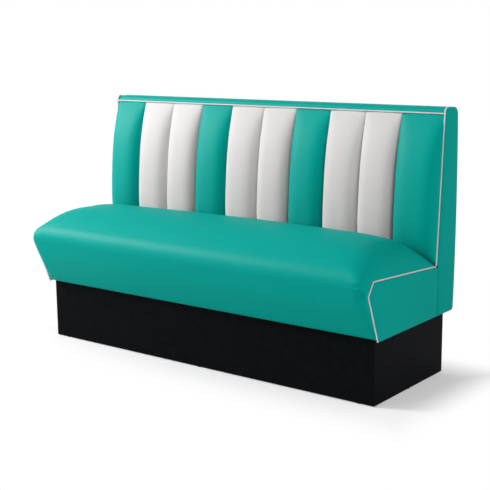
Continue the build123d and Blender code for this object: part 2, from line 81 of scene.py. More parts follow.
softbox("key_light", place=(-3.3, -1.9, 2.8), side=1.3, power=142)
softbox("high_light", place=(-1.2, -2.8, 3.0), side=1.2, power=12)
softbox("right_light", place=(3.2, -0.6, 1.8), side=1.4, power=22)
gloss_light = softbox("gloss_light", place=(-3.2, -1.7, 2.2), side=1.6, power=520)
gloss_light.visible_diffuse = False  # it gives highlights only


def reckon(tree, operation, *values):
    """One step of arithmetic on sockets and numbers."""
    node = tree.nodes.new("ShaderNodeMath")
    node.operation = operation
    for socket, value in zip(node.inputs, values):
        if isinstance(value, (int, float)):
            socket.default_value = value
        else:
            tree.links.new(value, socket)
    return node.outputs[0]


def seen_directly(tree):
    """1 for what the camera sees, straight on or in a reflection, and 0 for light that falls on things."""
    path = tree.nodes.new("ShaderNodeLightPath")
    total = path.outputs["Is Camera Ray"]
    for name in ("Is Glossy Ray", "Is Transmission Ray"):
        total = reckon(tree, "MAXIMUM", total, path.outputs[name])
    return total


def mixed(tree, share, first, second):
    """The first shader where the share is 0, and the second where it is 1."""
    node = tree.nodes.new("ShaderNodeMixShader")
    for socket, source in zip(node.inputs, (share, first, second)):
        tree.links.new(source, socket)
    return node.outputs[0]


def make_room():
    """A white world, which lights the bench more softly than it looks."""
    world = bpy.data.worlds.new("white_room")
    bpy.context.scene.world = world
    world.use_nodes = True
    tree = world.node_tree
    tree.nodes.clear()
    whites = []
    for strength in (room_light, 1):
        white = tree.nodes.new("ShaderNodeBackground")
        white.inputs["Color"].default_value = (1, 1, 1, 1)
        white.inputs["Strength"].default_value = strength
        whites.append(white.outputs[0])
    output = tree.nodes.new("ShaderNodeOutputWorld")
    tree.links.new(mixed(tree, seen_directly(tree), *whites), output.inputs["Surface"])


def make_floor():
    """A floor that looks plain white, apart from a strip round the plinth that shows the shadow."""
    bpy.ops.mesh.primitive_plane_add(size=floor_side, location=(0, 0, 0))
    floor = bpy.context.object
    floor.name = "studio_floor"
    material = bpy.data.materials.new("studio_floor")
    material.use_nodes = True
    tree = material.node_tree
    tree.nodes.clear()
    paint = tree.nodes.new("ShaderNodeBsdfDiffuse")
    paint.inputs["Color"].default_value = (floor_shade, floor_shade, floor_shade, 1)
    glow = tree.nodes.new("ShaderNodeEmission")
    glow.inputs["Strength"].default_value = floor_glow
    white = tree.nodes.new("ShaderNodeEmission")
    strip = tree.nodes.new("ShaderNodeAddShader")
    tree.links.new(paint.outputs[0], strip.inputs[0])
    tree.links.new(glow.outputs[0], strip.inputs[1])

    place = tree.nodes.new("ShaderNodeTexCoord").outputs["Object"]
    apart = tree.nodes.new("ShaderNodeSeparateXYZ")
    tree.links.new(place, apart.inputs[0])
    fades = []
    for axis, (start, end) in (("X", shadow_fade_x), ("Y", shadow_fade_y)):
        fade = tree.nodes.new("ShaderNodeMapRange")
        fade.interpolation_type = "SMOOTHSTEP"
        fade.inputs["From Min"].default_value = start
        fade.inputs["From Max"].default_value = end
        tree.links.new(reckon(tree, "ABSOLUTE", apart.outputs[axis]), fade.inputs["Value"])
        fades.append(fade.outputs["Result"])
    shown = mixed(tree, reckon(tree, "MAXIMUM", *fades), strip.outputs[0], white.outputs[0])

    output = tree.nodes.new("ShaderNodeOutputMaterial")
    tree.links.new(mixed(tree, seen_directly(tree), paint.outputs[0], shown), output.inputs["Surface"])
    floor.data.materials.append(material)


make_room()
make_floor()


# The plinth
# Boards of black laminate under the bench, set back from its edges, with pale plywood ribs and glue
# blocks inside. It stands on nail-on glides of hard plastic.
laminate_dark, laminate_light = (0.0048, 0.0053, 0.0066), (0.0068, 0.0074, 0.0088)
plastic_dark, plastic_light = (0.02, 0.02, 0.02), (0.035, 0.035, 0.035)
birch_light, birch_dark = (0.56, 0.41, 0.25), (0.43, 0.29, 0.16)
across_grain, along_grain = 30.0, 2.0


def surface(name, roughness=0.5, specular=0.5):
    """A new material, its node tree, its Principled shader and its Object coordinates."""
    material = bpy.data.materials.new(name)
    material.use_nodes = True
    tree = material.node_tree
    shader = tree.nodes["Principled BSDF"]
    shader.inputs["Roughness"].default_value = roughness
    shader.inputs["Specular IOR Level"].default_value = specular
    place = tree.nodes.new("ShaderNodeTexCoord").outputs["Object"]
    return material, tree, shader, place


def stretched(tree, place, scale):
    """Object coordinates, scaled along each axis."""
    mapping = tree.nodes.new("ShaderNodeMapping")
    mapping.inputs["Scale"].default_value = scale
    tree.links.new(place, mapping.inputs["Vector"])
    return mapping.outputs["Vector"]


def noise(tree, place, scale, detail=3):
    """Soft random patches from 0 to 1."""
    texture = tree.nodes.new("ShaderNodeTexNoise")
    texture.inputs["Scale"].default_value = scale
    texture.inputs["Detail"].default_value = detail
    tree.links.new(place, texture.inputs["Vector"])
    return texture.outputs["Fac"]


def tint(tree, shader, value, *stops):
    """A base colour that follows a value through (place, colour) stops."""
    node = tree.nodes.new("ShaderNodeValToRGB")
    band = node.color_ramp
    while len(band.elements) < len(stops):
        band.elements.new(0.5)
    for element, (where, colour) in zip(band.elements, stops):
        element.position = where
        element.color = (*colour, 1)
    tree.links.new(value, node.inputs["Fac"])
    tree.links.new(node.outputs["Color"], shader.inputs["Base Color"])


def spread(tree, value, low, high):
    """A value moved from 0..1 to low..high."""
    node = tree.nodes.new("ShaderNodeMapRange")
    node.inputs["To Min"].default_value = low
    node.inputs["To Max"].default_value = high
    tree.links.new(value, node.inputs["Value"])
    return node.outputs["Result"]


def bumped(tree, shader, height, depth):
    """A bump of a real depth in metres on the shader's normal."""
    bump = tree.nodes.new("ShaderNodeBump")
    bump.inputs["Distance"].default_value = depth
    bump.inputs["Strength"].default_value = 1
    tree.links.new(height, bump.inputs["Height"])
    tree.links.new(bump.outputs["Normal"], shader.inputs["Normal"])


def dress(material, slot, *names):
    """Gives CAD nodes their finish."""
    for name in names:
        piece = nodes[name]
        piece.data.materials.clear()
        piece.data.materials.append(material)


def black_laminate():
    material, tree, shader, place = surface("black_laminate", specular=0.01)
    shade = noise(tree, place, scale=40)
    tint(tree, shader, shade, (0.35, laminate_dark), (0.65, laminate_light))
    pores = noise(tree, stretched(tree, place, (1, 1, 0.2)), scale=1400, detail=2)
    tree.links.new(spread(tree, shade, 0.36, 0.46), shader.inputs["Roughness"])
    bumped(tree, shader, pores, depth=0.00006)
    return material


def glide_plastic():
    material, tree, shader, place = surface("glide_plastic")
    shade = noise(tree, place, scale=300)
    tint(tree, shader, shade, (0.3, plastic_dark), (0.7, plastic_light))
    bumped(tree, shader, shade, depth=0.0001)
    return material


def birch_ply(name, along):
    """Sanded board with long grain along one axis: 0 for X, 1 for Y, 2 for Z."""
    material, tree, shader, place = surface(name, specular=0.3)
    scale = [across_grain] * 3
    scale[along] = along_grain
    figure = noise(tree, stretched(tree, place, scale), scale=4, detail=6)
    tint(tree, shader, figure, (0.3, birch_dark), (0.5, birch_light), (0.7, birch_dark))
    tree.links.new(spread(tree, figure, 0.62, 0.78), shader.inputs["Roughness"])
    bumped(tree, shader, figure, depth=0.0003)
    return material


ply_along = birch_ply("birch_ply_along", 0)
ply_across = birch_ply("birch_ply_across", 1)
ply_upright = birch_ply("birch_ply_upright", 2)
dress(
    black_laminate(), "plinth_black",
    "plinth_front_board", "plinth_rear_board", "plinth_left_board", "plinth_right_board",
)
dress(glide_plastic(), "glide_plastic", "plinth_glides")
dress(ply_across, "plywood", "plinth_rib_1", "plinth_rib_2")
dress(ply_upright, "plywood", "plinth_corner_blocks")


# The seat frame
# Birch plywood: a leaning front board, a rear rail, two end boards and two ribs, with glue blocks in the
# corners. Elastic webbing is stretched over it, the cross straps woven through the long ones.
weave_scale = 260
thread_dark, thread_light = (0.02, 0.02, 0.02), (0.09, 0.09, 0.085)

dress(ply_along, "plywood", "seat_front_board", "seat_rear_rail")
dress(
    ply_across, "plywood",
    "seat_left_end", "seat_right_end", "seat_rib_1", "seat_rib_2", "seat_corner_blocks",
)


def elastic_webbing():
    material, tree, shader, place = surface("elastic_webbing", roughness=0.85, specular=0.2)
    waves = []
    for axis in ("X", "Y"):
        wave = tree.nodes.new("ShaderNodeTexWave")
        wave.bands_direction = axis
        wave.inputs["Scale"].default_value = weave_scale
        tree.links.new(place, wave.inputs["Vector"])
        waves.append(wave.outputs["Fac"])
    weave = reckon(tree, "MULTIPLY", *waves)
    tint(tree, shader, weave, (0.1, thread_dark), (0.9, thread_light))
    bumped(tree, shader, weave, depth=0.0004)
    return material


dress(elastic_webbing(), "webbing", "seat_cross_webbing", "seat_long_webbing")


# The seat cushion
# One panel of turquoise vinyl over a block of foam. It runs up the leaning front, over the nose and back
# over the crown, and is sewn to a welt at both ends, where it is drawn down tight.
proud = 1.008  # the covers reach past the solids by this share at both ends
seat_low, seat_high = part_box("seat_cover")
side_low, side_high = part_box("seat_right_facing")
plinth_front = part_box("plinth_front_board")[0].y
seat_half = seat_high.x * proud
seat_floor, seat_rear = seat_low.z, seat_high.y
foot_overhang, nose_overhang = 0.0095, 0.106
seat_foot, nose_front = plinth_front - foot_overhang, plinth_front - nose_overhang
chin_reach, brow_setback = 0.060, 0.028
seat_rear_height, brow_rise, brow_drop = 0.396, 0.0245, 0.040
seat_crown, rear_recess, heel_radius = 0.111, 0.054, 0.006
edge_bow = 0.00015
top_place_shares = (0.2, 0.4, 0.7)

# One number for each spot of the section, from the foot up over the nose: how much of the swell and of
# the crown it has in the middle of the bench, and how near to the ends it keeps them.
swell_shares = (0, 0.4, 0.65, 0.97, 0.74, 0.63, 0.14, 0.06)
crown_shares = (0, 0.04, 0.15, 0.31, 0.43, 0.84, 1, 0.95)
swell_powers = (110, 110, 110, 110, 80, 24, 11, 11)
rise_powers = (110, 110, 110, 50, 19, 17, 11, 11)

# The last three spots, at the rear: shares of the heel's radius back and down at the ends of the bench,
# then of the recess and of the crown in its middle.
rear_spots = ((1, 0, 1, 0.92), (0.3, 0.3, 0.74, 0.43), (0, 1, 0, 0))
shoulder_power, recess_power = 3.5, 10

arc_counts, heel_count, floor_count = (12, 14, 14, 16, 10), 6, 10
seat_rows, seat_row_close = 141, 1.9
end_bulge, bulge_full = 0.0034, 0.05  # the nose bulges past the welts, in full where it swells this far
bulge_last, bulge_fade = 38, 12  # the last point of the loop that bulges, and how many fade out before it

# Each pucker: how far in from the welt, how high, half its width, half its height, and its depth.
puckers = ((0.013, 0.389, 0.011, 0.012, 0.017), (0.022, 0.4155, 0.016, 0.0045, 0.006))
pucker_reach = 0.1

cloth_frames = 20
turquoise, turquoise_cast = (0.0, 0.428, 0.368), (0.22, 0.30, 0.28)
off_white = (0.81, 0.787, 0.780)
grain_cells, grain_creases, grain_patches = 620, 1500, 2.2
grain_depth, grain_strength = 0.00018, 0.35
crease_share, crease_gloss = 0.35, 0.10


def flat(y, z):
    """A point of the bench's cross section."""
    return Vector((y, z))


def side_outline():
    """The corners and arc middles of the seat's side panel, as (y, z)."""
    foot = flat(seat_foot, seat_floor)
    brow = flat(seat_foot - chin_reach + brow_setback, seat_rear_height + brow_rise)
    chin = flat(seat_foot - chin_reach, brow.y - brow_drop)
    rear = flat(seat_rear, seat_rear_height)
    spots = []
    for start, end in ((foot, chin), (chin, brow)):
        way = (end - start).normalized()
        spots += [start, (start + end) / 2 + flat(-way.y, way.x) * edge_bow]
    spots.append(brow)
    back = (rear - brow).normalized()
    run = rear - back * heel_radius - brow
    for share in top_place_shares:
        spots.append(brow + run * share + flat(-back.y, back.x) * (edge_bow * 4 * share * (1 - share)))
    return spots


def stays(share, power):
    """1 in the middle of the bench and 0 at its ends, with the fall nearer to the ends at higher powers."""
    return sqrt(max(0, 1 - share ** power))


def arc(first, middle, last, count):
    """Points on the circle through three, from the first up to but without the last."""
    (ax, ay), (bx, by), (cx, cy) = first, middle, last
    scale = 2 * (ax * (by - cy) + bx * (cy - ay) + cx * (ay - by))
    sa, sb, sc = ax * ax + ay * ay, bx * bx + by * by, cx * cx + cy * cy
    ux = (sa * (by - cy) + sb * (cy - ay) + sc * (ay - by)) / scale
    uy = (sa * (cx - bx) + sb * (ax - cx) + sc * (bx - ax)) / scale
    radius = hypot(ax - ux, ay - uy)
    start = atan2(ay - uy, ax - ux)
    sweep = (atan2(cy - uy, cx - ux) - start) % (2 * pi)
    if (atan2(by - uy, bx - ux) - start) % (2 * pi) > sweep:
        sweep -= 2 * pi
    angles = [start + sweep * k / count for k in range(count)]
    return [flat(ux + radius * cos(a), uy + radius * sin(a)) for a in angles]


def seat_corners(share):
    """The corners and arc middles of the cushion's section at a share of its half-length."""
    outline = side_outline()
    swell = outline[3].x - nose_front
    spots = []
    for k, spot in enumerate(outline):
        forward = swell * swell_shares[k] * stays(share, swell_powers[k])
        spots.append(spot + flat(-forward, seat_crown * crown_shares[k] * stays(share, rise_powers[k])))
    rise, recess = stays(share, shoulder_power), stays(share, recess_power)
    for heel_back, heel_down, recessed, raised in rear_spots:
        back = heel_radius * heel_back * (1 - recess) + rear_recess * recessed * recess
        up = seat_crown * raised * rise - heel_radius * heel_down * (1 - rise)
        spots.append(flat(seat_rear - back, seat_rear_height + up))
    return spots


def seat_loop(share):
    """The cushion's whole section as a closed loop of points: over the top, then down and back under."""
    spots = seat_corners(share)
    loop = []
    for k, count in enumerate(arc_counts):
        loop += arc(*spots[2 * k:2 * k + 3], count)
    heel, corner = spots[-1], flat(seat_rear, seat_floor)
    loop += [heel.lerp(corner, k / heel_count) for k in range(heel_count)]
    loop += [corner.lerp(spots[0], k / floor_count) for k in range(floor_count)]
    return loop


def take(piece):
    """Makes a piece the only one selected."""
    bpy.ops.object.select_all(action="DESELECT")
    piece.select_set(True)
    bpy.context.view_layer.objects.active = piece


def placed(name, data):
    """A new piece in the scene."""
    piece = bpy.data.objects.new(name, data)
    bpy.context.scene.collection.objects.link(piece)
    return piece


def skin(name, loops):
    """A closed skin through loops of points, with a face at each end."""
    count = len(loops[0])
    points = [point for loop in loops for point in loop]
    faces = []
    for row in range(len(loops) - 1):
        for k in range(count):
            a, b = row * count + k, row * count + (k + 1) % count
            faces.append((a, b, b + count, a + count))
    faces.append(tuple(range(count)))
    faces.append(tuple(range(len(points) - count, len(points))))
    mesh = bpy.data.meshes.new(name)
    mesh.from_pydata([tuple(p) for p in points], [], faces)
    piece = placed(name, mesh)
    take(piece)
    bpy.ops.object.mode_set(mode="EDIT")
    bpy.ops.mesh.select_all(action="SELECT")
    bpy.ops.mesh.normals_make_consistent(inside=False)
    bpy.ops.object.mode_set(mode="OBJECT")
    return piece


def apply_all(piece):
    """Applies a piece's modifiers, one after the other."""
    take(piece)
    for modifier in list(piece.modifiers):
        bpy.ops.object.modifier_apply(modifier=modifier.name)


def relax(piece, held, repeats):
    """Smooths a skin's kinks away, with its sewn rows held."""
    group = piece.vertex_groups.new(name="free")
    group.add([v.index for v in piece.data.vertices if v.index not in held], 1, "REPLACE")
    smooth = piece.modifiers.new("relax", "SMOOTH")
    smooth.factor = 0.5
    smooth.iterations = repeats
    smooth.vertex_group = "free"
    apply_all(piece)


def plump(piece, held, pressure, cap):
    """Cloth under pressure from the stuffing: the sewn rows are held, and no point moves past the cap."""
    before = np.array([v.co for v in piece.data.vertices])
    group = piece.vertex_groups.new(name="sewn")
    group.add(sorted(held), 1, "REPLACE")
    cloth = piece.modifiers.new("stuffing", "CLOTH")
    settings = cloth.settings
    settings.quality = 6
    settings.mass = 0.4
    settings.tension_stiffness = 25
    settings.compression_stiffness = 25
    settings.shear_stiffness = 12
    settings.bending_stiffness = 4
    settings.vertex_group_mass = "sewn"
    settings.use_pressure = True
    settings.uniform_pressure_force = pressure
    settings.effector_weights.gravity = 0
    cloth.collision_settings.use_collision = False
    scene = bpy.context.scene
    for number in range(1, cloth_frames + 1):
        scene.frame_set(number)
    apply_all(piece)
    moved = np.array([v.co for v in piece.data.vertices]) - before
    far = np.linalg.norm(moved, axis=1, keepdims=True)
    after = before + moved * np.minimum(1, cap / np.maximum(far, 1e-9))
    piece.data.vertices.foreach_set("co", after.astype(np.float32).ravel())
    piece.data.update()
    scene.frame_set(1)


def finish_soft(piece, material, slot, *replaced, fill):
    """One subdivision, a smooth skin, and its finish."""
    finer = piece.modifiers.new("finer", "SUBSURF")
    finer.levels = finer.render_levels = 1
    apply_all(piece)
    piece.data.shade_smooth()
    piece.vertex_groups.clear()
    piece.data.materials.append(material)
    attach(piece, "root")
    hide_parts(*replaced)


def vinyl_grain():
    """The embossed leather grain of upholstery vinyl, with faint uneven tone and gloss."""
    group = bpy.data.node_groups.new("vinyl_grain", "ShaderNodeTree")
    for way, sockets in (
        ("INPUT", (("Tone", "Color"), ("Depth", "Float"), ("Gloss", "Float"))),
        ("OUTPUT", (("Color", "Color"), ("Roughness", "Float"), ("Normal", "Vector"))),
    ):
        for socket, kind in sockets:
            group.interface.new_socket(name=socket, in_out=way, socket_type=f"NodeSocket{kind}")
    given = group.nodes.new("NodeGroupInput")
    result = group.nodes.new("NodeGroupOutput")
    place = group.nodes.new("ShaderNodeTexCoord").outputs["Object"]

    cells = group.nodes.new("ShaderNodeTexVoronoi")
    cells.feature = "SMOOTH_F1"
    cells.inputs["Scale"].default_value = grain_cells
    cells.inputs["Smoothness"].default_value = 0.6
    group.links.new(place, cells.inputs["Vector"])
    creases = noise(group, place, grain_creases, detail=2)
    patches = noise(group, place, grain_patches, detail=2)

    bump = group.nodes.new("ShaderNodeBump")
    bump.inputs["Strength"].default_value = grain_strength
    height = reckon(group, "MULTIPLY_ADD", creases, crease_share, cells.outputs["Distance"])
    group.links.new(given.outputs["Depth"], bump.inputs["Distance"])
    group.links.new(height, bump.inputs["Height"])
    group.links.new(bump.outputs["Normal"], result.inputs["Normal"])

    tone = group.nodes.new("ShaderNodeHueSaturation")
    group.links.new(spread(group, patches, 0.96, 1.04), tone.inputs["Value"])
    group.links.new(given.outputs["Tone"], tone.inputs["Color"])
    group.links.new(tone.outputs["Color"], result.inputs["Color"])

    gloss = reckon(group, "MULTIPLY_ADD", creases, crease_gloss, given.outputs["Gloss"])
    group.links.new(gloss, result.inputs["Roughness"])
    return group


grain = vinyl_grain()


def vinyl(name, tone, roughness, specular, cast=None):
    """Upholstery vinyl. The cast, if given, is the tone of the light that it throws on its neighbours."""
    material, tree, shader, _ = surface(name, roughness, specular)
    effect = tree.nodes.new("ShaderNodeGroup")
    effect.node_tree = grain
    effect.inputs["Tone"].default_value = (*tone, 1)
    effect.inputs["Depth"].default_value = grain_depth
    effect.inputs["Gloss"].default_value = roughness
    colour = effect.outputs["Color"]
    if cast:
        mix = tree.nodes.new("ShaderNodeMix")
        mix.data_type = "RGBA"
        thrown = tree.nodes.new("ShaderNodeLightPath").outputs["Is Diffuse Ray"]
        tree.links.new(thrown, mix.inputs["Factor"])
        tree.links.new(colour, mix.inputs["A"])
        mix.inputs["B"].default_value = (*cast, 1)
        colour = mix.outputs["Result"]
    tree.links.new(colour, shader.inputs["Base Color"])
    tree.links.new(effect.outputs["Roughness"], shader.inputs["Roughness"])
    tree.links.new(effect.outputs["Normal"], shader.inputs["Normal"])
    return material


turquoise_vinyl = vinyl("turquoise_vinyl", turquoise, roughness=0.48, specular=0.03, cast=turquoise_cast)
white_vinyl = vinyl("white_vinyl", off_white, roughness=0.46, specular=0.03)


def end_spaced(count, close):
    """Places from -1 to 1, closer together towards both ends."""
    return [np.sign(t) * (1 - (1 - abs(t)) ** close) for t in np.linspace(-1, 1, count)]


def press_puckers(piece, held):
    """Presses the puckers into the nose beside the right-hand welt, where the cover is drawn over it."""
    for vertex in piece.data.vertices:
        inward = seat_half - vertex.co.x
        if inward > pucker_reach or vertex.index in held or vertex.co.y > nose_front + pucker_reach:
            continue
        for gap, level, width, height, depth in puckers:
            across, up = (inward - gap) / width, (vertex.co.z - level) / height
            vertex.co.y += depth * np.exp(-across ** 2 - up ** 2)


def make_seat_cushion():
    """Sections of the cushion from end to end, skinned, smoothed and stuffed."""
    places = end_spaced(seat_rows, seat_row_close)
    edge, middle = seat_loop(1), seat_loop(0)
    full = [max((m - e).length, 1e-6) for m, e in zip(middle, edge)]
    loops = []
    for t in places:
        loop = []
        for k, spot in enumerate(seat_loop(abs(t))):
            swollen = min(1, (spot - edge[k]).length / full[k])
            nose = min(1, full[k] / bulge_full) * max(0, min(1, (bulge_last - k) / bulge_fade))
            bulge = end_bulge * nose * sqrt(4 * swollen * (1 - swollen))
            loop.append((seat_half * t + np.sign(t) * bulge, spot.x, spot.y))
        loops.append(loop)
    piece = skin("seat_cushion", loops)
    count, rows = len(edge), len(places)
    under = [k for k in range(count) if k == 0 or k >= sum(arc_counts)]
    held = set(range(count)) | set(range(count * (rows - 1), count * rows))
    held |= {row * count + k for row in range(rows) for k in under}
    relax(piece, held, repeats=6)
    press_puckers(piece, held)
    plump(piece, held, pressure=4, cap=0.003)
    finish_soft(piece, turquoise_vinyl, "vinyl_turquoise", "seat_cover", "seat_foam", fill=0.85)


make_seat_cushion()


# The seat's side facings
# A thin foam-faced board on each end of the seat, wrapped in turquoise vinyl. Its edge is rolled over and
# its skin swells a little inside that edge.
facing_thickness = side_high.x - side_low.x
facing_roll, roll_steps = 0.003, 5
facing_swell, facing_swell_reach = 0.0022, 0.014
facing_pitch = 0.012
touching = 1e-6


def edge_distance(spots, outline):
    """How far each (y, z) spot lies from a closed outline."""
    starts = np.array([tuple(p) for p in outline])
    runs = np.roll(starts, -1, axis=0) - starts
    lengths = np.maximum((runs ** 2).sum(axis=1), 1e-12)
    nearest = np.full(len(spots), 1e9)
    for start, run, length in zip(starts, runs, lengths):
        share = np.clip(((spots - start) @ run) / length, 0, 1)
        gap = np.linalg.norm(spots - start - share[:, None] * run, axis=1)
        nearest = np.minimum(nearest, gap)
    return nearest


def roll_edge(shape, cap):
    """Rolls the board's outer edge over, in steps of a quarter circle."""
    for step in range(roll_steps):
        low, high = (pi / 2 * (step + k) / roll_steps for k in (0, 1))
        run = facing_roll * (cos(low) - cos(high))
        rise = facing_roll * (sin(high) - sin(low))
        shape.normal_update()
        bmesh.ops.inset_region(shape, faces=[cap], thickness=run, depth=rise, use_even_offset=True)


def cut_grid(shape, rim, outer):
    """Cuts the outer face into small squares, which the skin needs to swell."""
    for axis in (1, 2):
        low, high = min(p[axis - 1] for p in rim), max(p[axis - 1] for p in rim)
        count = int((high - low) / facing_pitch)
        normal = Vector((0, axis == 1, axis == 2))
        for k in range(1, count):
            faces = [f for f in shape.faces if all(abs(v.co.x - outer) < touching for v in f.verts)]
            edges = {e for f in faces for e in f.edges}
            verts = {v for f in faces for v in f.verts}
            level = low + (high - low) * k / count
            geom = faces + list(edges) + list(verts)
            bmesh.ops.bisect_plane(shape, geom=geom, plane_co=normal * level, plane_no=normal)


def facing(name, outline, side, replaced):
    """A wrapped board over a (y, z) outline, with a rolled edge and a skin that swells inside it."""
    inner = side * (side_high.x * proud - facing_thickness)
    outer = side * side_high.x * proud
    shape = bmesh.new()
    cap = shape.faces.new([shape.verts.new((inner, p[0], p[1])) for p in outline])
    shape.normal_update()
    if cap.normal.x * side < 0:
        cap.normal_flip()
    top = bmesh.ops.extrude_face_region(shape, geom=[cap])
    cap = [f for f in top["geom"] if isinstance(f, bmesh.types.BMFace)][0]
    bmesh.ops.translate(shape, verts=cap.verts, vec=(side * (facing_thickness - facing_roll), 0, 0))
    roll_edge(shape, cap)
    rim = [v.co.yz for v in cap.verts]
    cut_grid(shape, rim, outer)
    face_verts = [v for v in shape.verts if abs(v.co.x - outer) < touching]
    spots = np.array([tuple(v.co.yz) for v in face_verts])
    for vertex, gap in zip(face_verts, edge_distance(spots, rim)):
        vertex.co.x += side * facing_swell * (1 - np.exp(-gap / facing_swell_reach))
    bmesh.ops.recalc_face_normals(shape, faces=shape.faces)
    mesh = bpy.data.meshes.new(name)
    shape.to_mesh(mesh)
    shape.free()
    piece = placed(name, mesh)
    mesh.shade_smooth()
    mesh.materials.append(turquoise_vinyl)
    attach(piece, "root")
    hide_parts(replaced)


facing("seat_left_side_panel", seat_loop(1), -1, "seat_left_facing")
facing("seat_right_side_panel", seat_loop(1), 1, "seat_right_facing")


# The seat's welts
# A cord wrapped in off-white vinyl and sewn between the cover and each side facing, with its flange
# tucked into the seam. It starts at the foot, goes over the nose and ends at the back.
welt_radius, welt_offset = 0.0025, 0.00295
flange_depth, flange_half = 0.008, 0.0004
seam_inset = 0.0005
seam_x = side_high.x * proud - facing_thickness - seam_inset
seat_welt_counts = (10, 12, 10, 10)
welt_white = (0.80, 0.86, 0.86)
white_welt_vinyl = vinyl("white_welt_vinyl", welt_white, roughness=0.4, specular=0.06)


def welt(name, spots, inward, replaced):
    """A round cord along 3-D spots, with a flange on its inner side."""
    curve = bpy.data.curves.new(name, "CURVE")
    curve.dimensions = "3D"
    curve.bevel_depth = welt_radius
    curve.bevel_resolution = 4
    curve.use_fill_caps = True
    spline = curve.splines.new("POLY")
    spline.points.add(len(spots) - 1)
    for point, spot in zip(spline.points, spots):
        point.co = (*spot, 1)
    take(placed(name, curve))
    bpy.ops.object.convert(target="MESH")
    piece = bpy.context.object
    piece.data.shade_smooth()
    loops = []
    for spot, way in zip(spots, inward):
        spot, across = Vector(spot), Vector((flange_half, 0, 0))
        far = spot + way * (welt_offset + flange_depth)
        loops.append([spot - across, spot + across, far + across, far - across])
    flange = skin(name + "_flange", loops)
    take(piece)
    flange.select_set(True)
    bpy.ops.object.join()
    piece.data.materials.append(white_welt_vinyl)
    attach(piece, "root")
    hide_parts(replaced)


def side_welt(name, path, ways, side, replaced):
    """A welt along a (y, z) path in the seam at one end of the bench."""
    welt(name, [(side * seam_x, p.x, p.y) for p in path], [Vector((0, w.x, w.y)) for w in ways], replaced)


def offset_path(points, amount):
    """A (y, z) path moved to its outer side, with the inward way at each point."""
    moved, ways = [], []
    for k, point in enumerate(points):
        before, after = points[max(0, k - 1)], points[min(len(points) - 1, k + 1)]
        along = (after - before).normalized()
        inward = flat(along.y, -along.x)
        moved.append(point - inward * amount)
        ways.append(inward)
    return moved, ways


def seat_side_path():
    """The path of the seat's side welt, with its inward ways."""
    spots = seat_corners(1)
    path = []
    for k, count in enumerate(seat_welt_counts):
        path += arc(*spots[2 * k:2 * k + 3], count)
    path.append(spots[2 * len(seat_welt_counts)])
    return offset_path(path, welt_offset)


side_welt("seat_left_welt", *seat_side_path(), -1, "seat_left_piping")
side_welt("seat_right_welt", *seat_side_path(), 1, "seat_right_piping")


# The back frame
# Birch plywood ends and uprights joined by three rails, faced in front with thin ply and behind with
# hardboard.
fibre_dark, fibre_light = (0.11, 0.06, 0.032), (0.19, 0.11, 0.06)


def hardboard():
    material, tree, shader, place = surface("hardboard", roughness=0.65, specular=0.3)
    fibre = noise(tree, place, scale=90, detail=5)
    tint(tree, shader, fibre, (0.3, fibre_dark), (0.7, fibre_light))
    bumped(tree, shader, fibre, depth=0.0002)
    return material


dress(ply_upright, "plywood", "back_left_end", "back_right_end", "back_upright_1", "back_upright_2")
dress(ply_along, "plywood", "back_top_rail", "back_seat_rail", "back_bottom_rail", "back_front_board")
dress(hardboard(), "hardboard", "back_rear_board")


# The back's foam
# A thin sheet of cream foam glued to the front board, which softens it behind the stuffed channels. It
# is pressed a little thinner at its ends.
back_low, back_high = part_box("back_right_facing")
back_lean = 0.038
channel_hem = 0.004
foam_thickness, foam_squeeze, foam_rows = 0.010, 0.0008, 25
foam_dark, foam_light = (0.62, 0.52, 0.30), (0.80, 0.72, 0.48)


def foam():
    material, tree, shader, place = surface("cream_foam", roughness=0.9, specular=0.1)
    pores = noise(tree, place, scale=700, detail=2)
    tint(tree, shader, pores, (0.35, foam_dark), (0.6, foam_light))
    bumped(tree, shader, pores, depth=0.0006)
    return material


def back_front_at(level):
    """The back's leaning front line, which the side welt follows."""
    return seat_rear + back_lean * (level - seat_rear_height) / (back_high.z - seat_rear_height)


def make_back_foam():
    """Sections of the sheet from its foot to its top, skinned."""
    low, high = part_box("back_foam")
    rows = []
    for t in np.linspace(0, 1, foam_rows):
        level = low.z + (high.z - low.z) * t
        face = back_front_at(level) + channel_hem
        rear = face + foam_thickness
        squeeze = foam_squeeze * (1 - sin(pi * t))
        front = [(x, face + squeeze * share, level) for x, share in ((low.x, 1), (0, 0.5), (high.x, 1))]
        rows.append(front + [(x, rear, level) for x in (high.x, 0, low.x)])
    finish_soft(skin("back_foam_sheet", rows), foam(), "foam", "back_foam", fill=0.6)


make_back_foam()


# The channels
# Ten tubes of vinyl stuffed with fibre and sewn side by side, turquoise and white in turn. Each is flat
# where it meets its neighbours, round in front, and pinched under the top welt.
welt_rise = 0.005  # the top welt sits this much above the solid's
channel_low, channel_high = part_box("channel_01")[0].z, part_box("channel_01")[1].z + welt_rise
channel_count = 10
channel_width, channel_gap = 2 * seat_high.x / channel_count, 0.00025
border_shifts = (0, -0.004, 0, 0, 0, 0.002, -0.001, 0, -0.002, -0.0085, 0)
borders = [(k - channel_count / 2) * channel_width + shift for k, shift in enumerate(border_shifts)]
borders[0], borders[-1] = -seat_half, seat_half
turquoise_numbers = (1, 4, 7, 10)
channel_crest = 0.064
crest_top_power, crest_foot_power = 4.4, 12
crest_flattening, crest_full_share = 0.14, 0.75
valley_share, end_valley_share = 0.32, 0.36
round_power, end_round_power = 2.9, 3.6
channel_rows, front_count, flank_count, back_count = 61, 36, 3, 8


